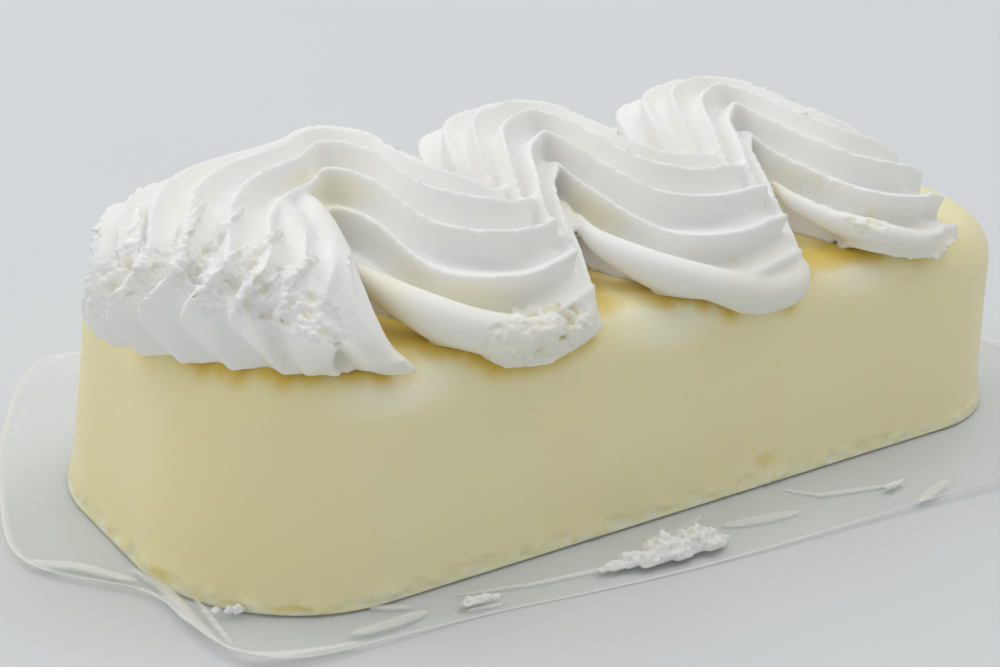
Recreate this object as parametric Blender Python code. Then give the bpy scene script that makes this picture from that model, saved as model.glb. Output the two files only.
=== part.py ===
# Bar cheesecake with a wave of piped whipped cream, on its clear film.
# Metres, +Z up, +X along the bar, origin on the base under the middle.
import math

import bmesh
import bpy
import numpy as np

MM = 0.001

# Film the cake stands on
FILM_THICKNESS = 0.3
FILM_STEPS_PER_POINT = 4
FILM_RING_SHARES = (0.5, 0.86, 0.9, 0.95, 1.0)
FILM_CURL_START = 0.87
FILM_CURL_POWER = 1.6

# Pressed-together pieces keep this much air
GAP = 0.3

# Baked block
BLOCK_LENGTH = 110.0
BLOCK_WIDTH = 46.1
BLOCK_HEIGHT = 22.15
BLOCK_CORNER_RADIUS = 16.9
BLOCK_DRAFT_DEG = 4.8
BLOCK_TOP_ROUND = 5.4
BLOCK_FOOT_FLARE = 0.5
BLOCK_FOOT_HEIGHT = 3.5
BLOCK_CORNER_STEPS = 9
BLOCK_ROUND_STEPS = 6
BLOCK_BASE_Z = FILM_THICKNESS + GAP
BLOCK_TOP_Z = BLOCK_BASE_Z + BLOCK_HEIGHT

# Piped ribbon of cream: a toothed tip as wide as the ribbon, waved from side to side
RIDGE_PITCH_DEG = 17.5
RIDGE_DEPTH = 2.0
VALLEY_ROUNDNESS = 0.8
RIDGE_FIRST = -5.3
RIDGE_LAST = 4.1
# Towards its front edge the ribbon's valleys flatten between these two ridges
FLAT_FROM_RIDGE = 2.6
FLAT_BY_RIDGE = 3.4
FLAT_SHARE = 0.8
RIBBON_HALF_WIDTH = 14.0
LOBE_TOP = 13.0
LOBE_END_TOP = 9.1
LOBE_BACK_Y = 7.6
LOBE_FRONT_Y = -8.4
LOBE_CREST_TO_END = 16.5
# Second and third lobe: crest X, shorter by, further forward by, lower by, front teeth less low by
MIDDLE_LOBE = (-2.5, 0.0, 0.0, 0.0, 0.0)
LAST_LOBE = (25.0, 4.0, 1.0, 1.5, 3.0)
CREAM_VOXEL = 0.75
CREAM_SMOOTH_ROUNDS = 1
CREAM_KEEP = 0.155
STEPS_PER_STATION = 6
STEPS_PER_RIDGE = 8

# Cream dropped on the film in front: centre x, y, half length, half width, height
LARGE_DAB = (-10.8, -29.9, 7.8, 1.6, 2.6)
SMALL_DAB = (-31.5, -27.3, 1.7, 0.6, 0.7)
DAB_TURN_DEG = -7.6
DAB_STEPS_AROUND = 20
DAB_STEPS_UP = 5
DAB_TOP_TILT_DEG = 84.0

CHEESE_YELLOW = (0.76, 0.70, 0.44, 1.0)
CREAM_WHITE = (0.88, 0.88, 0.85, 1.0)
FILM_GREY = (0.72, 0.74, 0.74, 1.0)


def clear_scene():
    for item in list(bpy.data.objects):
        bpy.data.objects.remove(item, do_unlink=True)


def make_material(name, colour, roughness, alpha=1.0):
    material = bpy.data.materials.new(name)
    material.use_nodes = True
    shader = material.node_tree.nodes["Principled BSDF"]
    shader.inputs["Base Color"].default_value = colour
    shader.inputs["Roughness"].default_value = roughness
    shader.inputs["Metallic"].default_value = 0.0
    shader.inputs["Alpha"].default_value = alpha
    return material


def mesh_object(name, points, faces, material):
    """One object from points in millimetres, normals made to face outwards."""
    mesh = bpy.data.meshes.new(name)
    mesh.from_pydata((np.asarray(points) * MM).tolist(), [], faces)
    work = bmesh.new()
    work.from_mesh(mesh)
    bmesh.ops.recalc_face_normals(work, faces=work.faces)
    work.to_mesh(mesh)
    work.free()
    mesh.shade_smooth()
    item = bpy.data.objects.new(name, mesh)
    item.data.materials.append(material)
    bpy.context.scene.collection.objects.link(item)
    return item


def ring_faces(ring_count, points_per_ring):
    """Quads between closed rings, with one flat face on the first and last ring."""
    n = points_per_ring
    faces = []
    for ring in range(ring_count - 1):
        for i in range(n):
            j = (i + 1) % n
            faces.append((ring * n + i, ring * n + j, (ring + 1) * n + j, (ring + 1) * n + i))
    faces.append(tuple(reversed(range(n))))
    faces.append(tuple(range((ring_count - 1) * n, ring_count * n)))
    return faces


def rounded_rectangle(half_length, half_width, radius):
    """Corner arcs of a rounded rectangle, anticlockwise from the right side."""
    points = []
    for corner, (sign_x, sign_y) in enumerate(((1, 1), (-1, 1), (-1, -1), (1, -1))):
        for step in range(BLOCK_CORNER_STEPS + 1):
            angle = math.radians(90.0 * (corner + step / BLOCK_CORNER_STEPS))
            x = sign_x * (half_length - radius) + radius * math.cos(angle)
            y = sign_y * (half_width - radius) + radius * math.sin(angle)
            points.append((x, y))
    return points


def block_profile():
    """Inset and height up the block's side: flared foot, drafted wall, rounded top edge."""
    slope = math.tan(math.radians(BLOCK_DRAFT_DEG))
    profile = [(0.0, 0.0)]
    for share in (0.35, 0.7, 1.0):
        z = BLOCK_FOOT_HEIGHT * share
        flare = BLOCK_FOOT_FLARE * (1.0 - share) ** 2
        profile.append((BLOCK_FOOT_FLARE - flare + slope * z, z))
    shoulder = BLOCK_HEIGHT - BLOCK_TOP_ROUND
    profile.append((BLOCK_FOOT_FLARE + slope * shoulder, shoulder))
    for step in range(1, BLOCK_ROUND_STEPS + 1):
        angle = math.radians(90.0 * step / BLOCK_ROUND_STEPS)
        inset = BLOCK_TOP_ROUND * (1.0 - math.cos(angle))
        z = shoulder + BLOCK_TOP_ROUND * math.sin(angle)
        profile.append((BLOCK_FOOT_FLARE + slope * shoulder + inset, z))
    return profile


def block_solid(name, material, grow=0.0):
    """The block, or the same form grown all round by a gap to cut its neighbours with."""
    points = []
    profile = block_profile()
    for inset, z in profile:
        half_length = BLOCK_LENGTH / 2 - inset + grow
        half_width = BLOCK_WIDTH / 2 - inset + grow
        radius = BLOCK_CORNER_RADIUS - inset + grow
        height = BLOCK_BASE_Z + z + grow * (1.0 if z > 0.0 else -1.0)
        for x, y in rounded_rectangle(half_length, half_width, radius):
            points.append((x, y, height))
    ring_size = 4 * (BLOCK_CORNER_STEPS + 1)
    return mesh_object(name, points, ring_faces(len(profile), ring_size), material)


def station(centre_x, centre_y, half_width, top, turn_deg=0.0, floor=-4.0, roll=8.0, lean=(0.0, 0.0)):
    """One arch of the ribbon: centre, half width vector, leaning height vector, tooth angle."""
    turn = math.radians(turn_deg)
    across = (-half_width * math.sin(turn), -half_width * math.cos(turn), 0.0)
    return ((centre_x, centre_y, floor), across, (*lean, top - floor), roll)


def starting_lobe():
    """Fan at the left end: the tip starts low on the front corner and rises to the first crest."""
    width = RIBBON_HALF_WIDTH
    return [
        ((-44.6, -10.0, -1.6), (10.6, -11.2, 0.0), (-6.0, -3.9, 1.2), 4.0),
        ((-46.2, -9.0, 2.8), (9.6, -9.2, 1.0), (-8.0, -2.3, 1.6), 4.0),
        ((-46.0, -5.5, 6.3), (9.4, -8.2, 0.9), (-3.9, -4.6, 2.2), 7.0),
        ((-43.0, -0.5, 6.0), (9.0, -8.5, 0.0), (-3.6, -2.5, 4.9), 11.0),
        ((-38.5, 3.0, 1.0), (6.5, -11.0, 0.0), (-2.5, 0.0, 10.6), 11.0),
        station(-32.5, 6.4, width - 0.5, LOBE_TOP - 0.4, 10.0, floor=-2.0, roll=11.0),
        station(-28.5, LOBE_BACK_Y, width, LOBE_TOP - 0.2, 20.0, floor=-3.0, roll=11.0, lean=(1.0, 2.0)),
        station(-26.5, 3.0, width + 1.0, LOBE_TOP - 0.2, 26.0, floor=-3.0, roll=13.0, lean=(3.0, 3.0)),
        station(-25.5, -4.0, width + 1.0, LOBE_TOP - 0.6, 20.0, roll=20.0, lean=(3.0, 3.0)),
        station(-22.0, LOBE_FRONT_Y - 0.4, width, LOBE_TOP - 1.4, 6.0, roll=17.0, lean=(2.0, 2.0)),
        station(-17.5, LOBE_FRONT_Y - 0.2, width, LOBE_TOP - 2.6, roll=9.0),
        station(-13.5, LOBE_FRONT_Y + 0.8, width, LOBE_END_TOP, roll=4.0),
    ]


def repeated_lobe(apex_x, shorter, forward, lower, tuck):
    """One wave: up and back from the last lobe's end, over the crest, forward and along."""
    width = RIBBON_HALF_WIDTH
    front = LOBE_FRONT_Y - forward
    end_x = apex_x + LOBE_CREST_TO_END - shorter
    return [
        station(apex_x - 12.5, -6.5, width, LOBE_TOP - 3.6, -8.0, floor=-3.0),
        station(apex_x - 11.0, -2.0, width, LOBE_TOP - 1.0, -12.0, floor=-3.0),
        station(apex_x - 8.0, 3.5, width, LOBE_TOP + 0.4, -12.0, floor=-3.0),
        station(apex_x - 3.0, LOBE_BACK_Y - 0.6, width, LOBE_TOP + 0.3, floor=-3.0, roll=7.0),
        station(apex_x + 1.0, LOBE_BACK_Y, width, LOBE_TOP, 16.0, floor=-3.0, roll=7.0, lean=(0.0, 1.0)),
        station(apex_x + 2.2, 2.5, width + 0.5, LOBE_TOP - 0.3, 27.0, floor=-3.0, roll=12.0, lean=(2.0, 3.0)),
        station(apex_x + 3.4, front + 2.8, width, LOBE_TOP - 1.0, 18.0, roll=18.0 - tuck, lean=(2.0, 2.0)),
        station(apex_x + 8.0, front, width, LOBE_TOP - 1.8 - lower / 2, 5.0, floor=-4.5, roll=14.0 - tuck),
        station(end_x - 3.5, front, width, LOBE_TOP - 2.7 - lower / 2, floor=-4.5, roll=9.0 - tuck / 2),
        station(end_x, front + 1.0, width, LOBE_END_TOP - lower),
    ]


def smooth_values(values, places):
    """Catmull-Rom curve through the rows of values, read at fractional row numbers."""
    rows = np.vstack([2 * values[0] - values[1], values, 2 * values[-1] - values[-2]])
    first = np.clip(np.floor(places).astype(int), 0, len(values) - 2)
    t = (places - first)[:, None]
    a, b, c, d = (rows[first + offset] for offset in range(4))
    return 0.5 * (2 * b + (c - a) * t + (2 * a - 5 * b + 4 * c - d) * t**2 + (3 * b - a - 3 * c + d) * t**3)


def ribbon_tube(stations):
    """Closed tube swept through the stations: ridged arch on top, straight chord below."""
    table = np.array([sum((list(part) for part in row[:3]), []) + [row[3]] for row in stations])
    places = np.linspace(0.0, len(table) - 1.0, STEPS_PER_STATION * (len(table) - 1) + 1)
    values = smooth_values(table, places)
    centre, across, rise = values[:, None, 0:3], values[:, None, 3:6], values[:, None, 6:9]
    ridges = np.linspace(RIDGE_FIRST, RIDGE_LAST, int((RIDGE_LAST - RIDGE_FIRST) * STEPS_PER_RIDGE) + 1)
    angle = np.radians(values[:, 9:10] + RIDGE_PITCH_DEG * ridges[None, :])[..., None]
    arch = centre + across * np.sin(angle) + rise * np.cos(angle)
    normal = across / (across**2).sum(-1, keepdims=True) * np.sin(angle)
    normal = normal + rise / (rise**2).sum(-1, keepdims=True) * np.cos(angle)
    normal = normal / np.linalg.norm(normal, axis=-1, keepdims=True)
    flat = np.clip((ridges - FLAT_FROM_RIDGE) / (FLAT_BY_RIDGE - FLAT_FROM_RIDGE), 0.0, 1.0)
    valley = RIDGE_DEPTH * (1.0 - FLAT_SHARE * flat) * np.abs(np.sin(math.pi * ridges)) ** VALLEY_ROUNDNESS
    arch = arch - normal * valley[None, :, None]
    rings = arch.reshape(-1, 3) + (0.0, 0.0, BLOCK_TOP_Z)
    return rings, ring_faces(len(places), len(ridges))


def add_remesh(item, voxel):
    remesh = item.modifiers.new("join_strokes", "REMESH")
    remesh.mode = "VOXEL"
    remesh.voxel_size = voxel * MM
    remesh.use_smooth_shade = True


def add_smooth(item, rounds):
    smooth = item.modifiers.new("soft_ridges", "SMOOTH")
    smooth.factor = 0.5
    smooth.iterations = rounds


def add_decimate(item, keep):
    decimate = item.modifiers.new("fewer_faces", "DECIMATE")
    decimate.ratio = keep


def cut_away(item, cutter):
    cut = item.modifiers.new("seat", "BOOLEAN")
    cut.operation = "DIFFERENCE"
    cut.solver = "EXACT"
    cut.object = cutter


def keep_largest_shell(item):
    """Apply the modifiers, then drop the bubbles and scraps left beside the main body."""
    graph = bpy.context.evaluated_depsgraph_get()
    item.data = bpy.data.meshes.new_from_object(item.evaluated_get(graph))
    item.modifiers.clear()
    work = bmesh.new()
    work.from_mesh(item.data)
    waiting = set(work.verts)
    shells = []
    while waiting:
        shell, edge = set(), {waiting.pop()}
        while edge:
            shell |= edge
            around = {link.other_vert(vert) for vert in edge for link in vert.link_edges}
            edge = around - shell
        waiting -= shell
        shells.append(shell)
    largest = max(shells, key=len)
    scraps = [vert for shell in shells if shell is not largest for vert in shell]
    bmesh.ops.delete(work, geom=scraps, context="VERTS")
    work.to_mesh(item.data)
    work.free()


def cream_ribbon(material, seat):
    """All strokes of cream joined to one body and seated on the block."""
    strokes = [starting_lobe(), repeated_lobe(*MIDDLE_LOBE), repeated_lobe(*LAST_LOBE)]
    points, faces = [], []
    for stroke in strokes:
        rings, ring_quads = ribbon_tube(stroke)
        offset = sum(len(part) for part in points)
        points.append(rings)
        faces.extend(tuple(index + offset for index in face) for face in ring_quads)
    ribbon = mesh_object("cream_ribbon", np.vstack(points), faces, material)
    add_remesh(ribbon, CREAM_VOXEL)
    add_smooth(ribbon, CREAM_SMOOTH_ROUNDS)
    add_decimate(ribbon, CREAM_KEEP)
    cut_away(ribbon, seat)
    keep_largest_shell(ribbon)
    bpy.data.objects.remove(seat, do_unlink=True)


def film_edge():
    """Edge of the sheet, from its left tip round the front: x, y and how far it curls up."""
    return np.array([
        (-64.0, -1.0, 0.6), (-56.8, -11.0, 0.5), (-56.0, -18.0, 0.8), (-54.5, -24.5, 0.8),
        (-49.5, -27.8, 0.6), (-41.0, -28.6, 0.3), (-31.0, -29.2, 0.0), (-20.0, -31.0, 0.0),
        (-10.0, -32.4, 0.0), (2.0, -33.6, 0.2), (16.0, -34.6, 0.6), (34.0, -35.9, 1.0),
        (50.0, -36.3, 1.3), (60.5, -31.0, 1.6), (64.06, -18.0, 1.2), (63.7, 2.0, 0.6),
        (63.0, 20.0, 1.2), (56.5, 32.5, 2.4), (40.0, 36.2, 1.0), (14.0, 35.2, 0.4),
        (-14.0, 35.2, 0.6), (-34.0, 36.3, 2.0), (-47.5, 35.0, 3.4), (-56.8, 22.0, 3.0),
        (-62.0, 10.0, 1.4)])


def film_sheet(material):
    """Thin sheet, flat under the cake, its rim following the edge points and curling up."""
    knots = film_edge()
    rows = np.vstack([knots[-2:], knots, knots[:3]])
    steps = len(knots) * FILM_STEPS_PER_POINT
    edge = smooth_values(rows, 2.0 + np.arange(steps) / FILM_STEPS_PER_POINT)
    points, faces = [], []
    for thickness in (0.0, FILM_THICKNESS):
        points.append((0.0, 0.0, thickness))
        for share in FILM_RING_SHARES:
            curl = max(0.0, (share - FILM_CURL_START) / (1.0 - FILM_CURL_START)) ** FILM_CURL_POWER
            for x, y, lift in edge:
                points.append((x * share, y * share, max(lift, 0.0) * curl + thickness))
    side = 1 + len(FILM_RING_SHARES) * steps
    rim = 1 + (len(FILM_RING_SHARES) - 1) * steps
    for step in range(steps):
        after = (step + 1) % steps
        for base in (0, side):
            faces.append((base, base + 1 + step, base + 1 + after))
            for ring in range(len(FILM_RING_SHARES) - 1):
                inner = base + 1 + ring * steps
                outer = inner + steps
                faces.append((inner + step, outer + step, outer + after, inner + after))
        faces.append((rim + step, rim + after, side + rim + after, side + rim + step))
    return mesh_object("film_sheet", points, faces, material)


def cream_dab(name, dab, material):
    """Low lumpy heap with a flat underside resting on the film."""
    centre_x, centre_y, half_length, half_width, height = dab
    turn = math.radians(DAB_TURN_DEG)
    around, up = DAB_STEPS_AROUND, DAB_STEPS_UP
    points = []
    for level in range(up + 1):
        tilt = math.radians(DAB_TOP_TILT_DEG * level / up)
        for step in range(around):
            angle = 2.0 * math.pi * step / around
            lump = 1.0 + 0.14 * math.sin(3.0 * angle + 1.0) + 0.08 * math.sin(5.0 * angle + 2.0 * level)
            along = half_length * lump * math.cos(tilt) * math.cos(angle)
            out = half_width * lump * math.cos(tilt) * math.sin(angle)
            x = centre_x + along * math.cos(turn) - out * math.sin(turn)
            y = centre_y + along * math.sin(turn) + out * math.cos(turn)
            points.append((x, y, BLOCK_BASE_Z + height * math.sin(tilt)))
    return mesh_object(name, points, ring_faces(up + 1, around), material)


def build():
    clear_scene()
    cheese = make_material("cheesecake", CHEESE_YELLOW, 0.45)
    cream = make_material("whipped_cream", CREAM_WHITE, 0.5)
    film = make_material("clear_film", FILM_GREY, 0.15, 0.5)
    block_solid("cheesecake_body", cheese)
    seat = block_solid("cream_seat", cheese, grow=GAP)
    cream_ribbon(cream, seat)
    film_sheet(film)
    cream_dab("cream_dab_large", LARGE_DAB, cream)
    cream_dab("cream_dab_small", SMALL_DAB, cream)


build()
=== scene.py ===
import math

import bmesh
import bpy
import numpy as np
from mathutils import Matrix, Vector


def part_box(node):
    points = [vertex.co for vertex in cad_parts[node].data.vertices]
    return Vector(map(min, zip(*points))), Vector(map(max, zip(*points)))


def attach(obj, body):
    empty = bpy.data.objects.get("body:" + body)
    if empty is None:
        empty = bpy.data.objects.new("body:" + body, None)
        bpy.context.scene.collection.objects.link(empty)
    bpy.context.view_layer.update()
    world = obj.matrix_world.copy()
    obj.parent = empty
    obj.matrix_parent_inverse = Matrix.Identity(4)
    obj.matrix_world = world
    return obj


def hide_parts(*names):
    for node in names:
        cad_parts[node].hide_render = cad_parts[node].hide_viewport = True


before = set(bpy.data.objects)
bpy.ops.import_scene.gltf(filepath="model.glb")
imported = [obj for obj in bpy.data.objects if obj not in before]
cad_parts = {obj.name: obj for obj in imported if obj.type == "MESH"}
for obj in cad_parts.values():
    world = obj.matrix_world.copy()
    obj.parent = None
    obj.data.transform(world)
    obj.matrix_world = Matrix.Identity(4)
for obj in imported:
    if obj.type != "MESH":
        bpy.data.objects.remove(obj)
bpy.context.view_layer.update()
mm = 0.001
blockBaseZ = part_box("cheesecake_body")[0].z / mm
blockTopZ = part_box("cheesecake_body")[1].z / mm
sink = 0.05  # how far the cream's underside lies inside the block's plain form, so no slit shows
print("stage 1: frame loaded,", len(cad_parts), "solids, block top at", round(blockTopZ, 2), "mm")


# Mesh helpers

def meshFromFaces(name, points, faces):
    # points in millimetres; the object stays at the origin with its place in its mesh
    mesh = bpy.data.meshes.new(name)
    mesh.from_pydata((np.asarray(points) * mm).tolist(), [], faces)
    piece = bpy.data.objects.new(name, mesh)
    bpy.context.scene.collection.objects.link(piece)
    return piece


def gridFaces(rows, columns, capStart=False, capEnd=False, offset=0):
    # quads between closed rings: row r, column c joins to the next row and the next column round
    index = np.arange(rows * columns).reshape(rows, columns) + offset
    around = np.roll(index, -1, axis=1)
    faces = np.stack([index[:-1], around[:-1], around[1:], index[1:]], axis=-1).reshape(-1, 4).tolist()
    if capStart:
        faces.append(index[0][::-1].tolist())
    if capEnd:
        faces.append(index[-1].tolist())
    return faces


def closeMesh(piece, mergeDistance=0.00001):
    # merge the doubled points at poles and seams, then turn every face outwards
    work = bmesh.new()
    work.from_mesh(piece.data)
    bmesh.ops.remove_doubles(work, verts=work.verts, dist=mergeDistance)
    bmesh.ops.dissolve_degenerate(work, dist=mergeDistance * 0.1, edges=work.edges)
    bmesh.ops.recalc_face_normals(work, faces=work.faces)
    work.to_mesh(piece.data)
    work.free()
    piece.data.shade_smooth()
    return piece


def applyModifiers(piece):
    # keep the evaluated mesh and drop the modifiers that made it
    graph = bpy.context.evaluated_depsgraph_get()
    finished = bpy.data.meshes.new_from_object(piece.evaluated_get(graph))
    piece.modifiers.clear()
    piece.data = finished
    return piece


def keepLargestShell(piece):
    # drop the bubbles and scraps left beside the main body, found as shells of joined points
    work = bmesh.new()
    work.from_mesh(piece.data)
    waiting = set(work.verts)
    shells = []
    while waiting:
        shell, edge = set(), {waiting.pop()}
        while edge:
            shell |= edge
            edge = {link.other_vert(vert) for vert in edge for link in vert.link_edges} - shell
        waiting -= shell
        shells.append(shell)
    largest = max(shells, key=len)
    scraps = [vert for shell in shells if shell is not largest for vert in shell]
    bmesh.ops.delete(work, geom=scraps, context="VERTS")
    work.to_mesh(piece.data)
    work.free()


def readPoints(mesh):
    points = np.empty(len(mesh.vertices) * 3, np.float32)
    mesh.vertices.foreach_get("co", points)
    return points.reshape(-1, 3).astype(float) / mm


def readNormals(mesh):
    normals = np.empty(len(mesh.vertices) * 3, np.float32)
    mesh.vertex_normals.foreach_get("vector", normals)
    return normals.reshape(-1, 3).astype(float)


def writePoints(mesh, points):
    mesh.vertices.foreach_set("co", (points * mm).astype(np.float32).ravel())
    mesh.update()


def refineWhere(piece, chosen, longest, rounds):
    # in each round, halve the edges longer than longest whose ends are both chosen by a test on the points
    for _ in range(rounds):
        inside = chosen(readPoints(piece.data))
        work = bmesh.new()
        work.from_mesh(piece.data)
        long = [edge for edge in work.edges if edge.calc_length() > longest * mm]
        edges = [edge for edge in long if inside[edge.verts[0].index] and inside[edge.verts[1].index]]
        bmesh.ops.subdivide_edges(work, edges=edges, cuts=1, use_grid_fill=True)
        bmesh.ops.triangulate(work, faces=[face for face in work.faces if len(face.verts) > 4])
        work.to_mesh(piece.data)
        work.free()


def thinMesh(piece, mostTriangles):
    # collapse the edges that matter least, first where the surface is flat
    thin = piece.modifiers.new("thin", "DECIMATE")
    thin.decimate_type = "COLLAPSE"
    piece.data.calc_loop_triangles()
    thin.ratio = min(1.0, mostTriangles / len(piece.data.loop_triangles))
    applyModifiers(piece)


def storeValue(mesh, name, values):
    # one number for each point, read by the finish through an Attribute node
    layer = mesh.attributes.new(name, "FLOAT", "POINT")
    layer.data.foreach_set("value", np.asarray(values, np.float32).ravel())


# Random fields worked out on whole arrays of points

tableSize = 4096
latticeShift = 500.0  # keeps every place on the lattice positive
latticePrimes = (73856093, 19349663, 83492791)


def tableKeys(place):
    # the row of the random table for each lattice place: coordinates times primes, mixed by exclusive or
    first, second, third = latticePrimes
    return ((place[..., 0] * first) ^ (place[..., 1] * second) ^ (place[..., 2] * third)) % tableSize


def latticeNoise(points, cell, seed):
    # random values on a cubic lattice, blended between the eight corners by smoothstep; -1 to 1
    table = np.random.default_rng(seed).uniform(-1.0, 1.0, tableSize)
    scaled = points / cell + latticeShift
    base = np.floor(scaled).astype(np.int64)
    part = scaled - base
    blend = part * part * (3.0 - 2.0 * part)
    total = np.zeros(points.shape[:-1])
    for corner in np.ndindex(2, 2, 2):
        place = base + np.array(corner)
        weight = np.prod(np.where(np.array(corner) > 0, blend, 1.0 - blend), axis=-1)
        total += weight * table[tableKeys(place)]
    return total


def layeredNoise(points, cell, seed, layers=3):
    # each layer has half the cell and half the strength of the one before
    total = np.zeros(points.shape[:-1])
    for layer in range(layers):
        total += latticeNoise(points, cell / 2**layer, seed + layer) / 2**layer
    return total


def pitField(points, cell, seed):
    # distance to the nearest of one random point in each lattice cell, in cells: 0 at a point
    table = np.random.default_rng(seed).uniform(0.0, 1.0, (tableSize, 3))
    scaled = points / cell + latticeShift
    base = np.floor(scaled).astype(np.int64)
    nearest = np.full(points.shape[:-1], 9.0)
    for corner in np.ndindex(3, 3, 3):
        place = base + np.array(corner) - 1
        apart = place + table[tableKeys(place)] - scaled
        nearest = np.minimum(nearest, np.sqrt((apart**2).sum(-1)))
    return nearest


def pathPlace(points, path):
    # distance from each point to the nearest stretch of a path, and how far along the path that is, 0 to 1
    nearest, place = np.full(points.shape[:-1], 1e9), np.zeros(points.shape[:-1])
    places = np.array(path)
    for step, (start, end) in enumerate(zip(places[:-1], places[1:])):
        along = end - start
        share = np.clip(((points - start) @ along) / (along @ along), 0.0, 1.0)
        away = np.linalg.norm(points - start - share[..., None] * along, axis=-1)
        place = np.where(away < nearest, (step + share) / (len(places) - 1), place)
        nearest = np.minimum(nearest, away)
    return nearest, place


def smoothStep(low, high, value):
    part = np.clip((value - low) / (high - low), 0.0, 1.0)
    return part * part * (3.0 - 2.0 * part)


def smoothRows(values, places):
    # Catmull-Rom curve through the rows of values, read at fractional row numbers
    rows = np.vstack([2 * values[0] - values[1], values, 2 * values[-1] - values[-2]])
    first = np.clip(np.floor(places).astype(int), 0, len(values) - 2)
    t = (places - first)[:, None]
    a, b, c, d = (rows[first + offset] for offset in range(4))
    bend = (2 * a - 5 * b + 4 * c - d) * t**2 + (3 * b - a - 3 * c + d) * t**3
    return 0.5 * (2 * b + (c - a) * t + bend)


# Shader helpers

class Wire:
    # one shader value; arithmetic on it adds Math nodes to its tree

    def __init__(self, tree, socket):
        self.tree = tree
        self.socket = socket

    def join(self, operation, first, second):
        node = self.tree.nodes.new("ShaderNodeMath")
        node.operation = operation
        for slot, item in zip(node.inputs, (first, second)):
            if isinstance(item, Wire):
                self.tree.links.new(item.socket, slot)
            else:
                slot.default_value = item
        return Wire(self.tree, node.outputs[0])

    def __add__(self, other):
        return self.join("ADD", self, other)

    def __radd__(self, other):
        return self.join("ADD", other, self)

    def __sub__(self, other):
        return self.join("SUBTRACT", self, other)

    def __rsub__(self, other):
        return self.join("SUBTRACT", other, self)

    def __mul__(self, other):
        return self.join("MULTIPLY", self, other)

    def __rmul__(self, other):
        return self.join("MULTIPLY", other, self)

    def __truediv__(self, other):
        return self.join("DIVIDE", self, other)

    def __pow__(self, other):
        return self.join("POWER", self, other)


class Finish:
    # a node material: every node comes from add, with its settings first and then its sockets

    def __init__(self, name):
        self.material = bpy.data.materials.new(name)
        self.material.use_nodes = True
        self.tree = self.material.node_tree
        self.tree.nodes.clear()
        self.place = self.add("ShaderNodeTexCoord", output="Object")

    def add(self, kind, settings=None, sockets=None, output=0):
        node = self.tree.nodes.new(kind)
        for key, item in (settings or {}).items():
            setattr(node, key, item)
        for key, item in (sockets or {}).items():
            if isinstance(item, Wire):
                self.tree.links.new(item.socket, node.inputs[key])
            else:
                node.inputs[key].default_value = item
        return Wire(self.tree, node.outputs[output]) if len(node.outputs) else node

    def noise(self, size, detail=3.0, roughness=0.5):
        # size is the width of one blotch in millimetres
        sockets = {"Vector": self.place, "Scale": 1.0 / (size * mm)}
        sockets |= {"Detail": detail, "Roughness": roughness}
        return self.add("ShaderNodeTexNoise", {"noise_dimensions": "3D"}, sockets, "Fac")

    def mix(self, factor, first, second):
        sockets = {0: factor, 6: first, 7: second}
        return self.add("ShaderNodeMix", {"data_type": "RGBA"}, sockets, 2)

    def range(self, value, low, high, toLow=0.0, toHigh=1.0):
        # smooth step from low to high, given out between toLow and toHigh
        sockets = {0: value, 1: low, 2: high, 3: toLow, 4: toHigh}
        return self.add("ShaderNodeMapRange", {"interpolation_type": "SMOOTHSTEP"}, sockets)

    def stored(self, name):
        return self.add("ShaderNodeAttribute", {"attribute_name": name}, None, "Fac")

    def axis(self, name):
        return self.add("ShaderNodeSeparateXYZ", None, {"Vector": self.place}, name)

    def spot(self, centre, radii):
        # 1 inside an ellipsoid round centre, falling to 0 at its edge; both in millimetres
        size = tuple(1.0 / (radius * mm) for radius in radii)
        shift = tuple(-c * s * mm for c, s in zip(centre, size))
        sockets = {"Vector": self.place, "Location": shift, "Scale": size}
        local = self.add("ShaderNodeMapping", {"vector_type": "POINT"}, sockets)
        away = self.add("ShaderNodeVectorMath", {"operation": "LENGTH"}, {0: local}, "Value")
        return self.range(away, 0.35, 1.0, 1.0, 0.0)

    def close(self, surface):
        self.add("ShaderNodeOutputMaterial", None, {"Surface": surface})
        return self.material


# Baked block

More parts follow.
